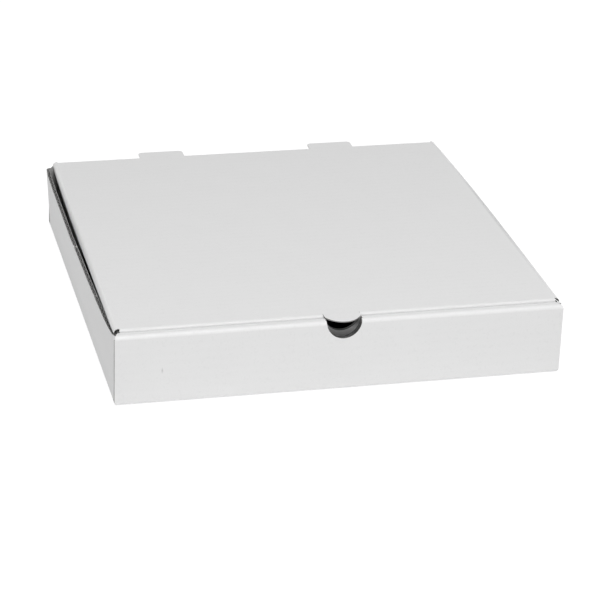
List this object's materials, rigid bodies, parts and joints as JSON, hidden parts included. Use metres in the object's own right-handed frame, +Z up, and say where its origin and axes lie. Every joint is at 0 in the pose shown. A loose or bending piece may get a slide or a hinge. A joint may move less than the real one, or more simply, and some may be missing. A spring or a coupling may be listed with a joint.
{
  "type": "pizza box",
  "caption": "Flat square folded board box with a hinged lid, tuck-in front and dust flaps, rolled front wall and a half-round thumb notch; carries and keeps a pizza.",
  "frame": {"origin": "middle of the tray's underside", "axes": "+X across the box to the right, +Y from the thumb notch back to the hinge, +Z up"},
  "size_m": [0.311, 0.3153, 0.051],
  "materials": {
    "white_lined_board": "matt"
  },
  "bodies": {
    "tray": {"tray": "white_lined_board"},
    "lid": {"lid": "white_lined_board"}
  },
  "joints": [
    {"name": "lid_hinge", "type": "hinge", "parent": "tray", "child": "lid", "pos_m": [0, 0.1525, 0.051], "axis": [-1, 0, 0], "range_deg": [0, 178]}
  ]
}
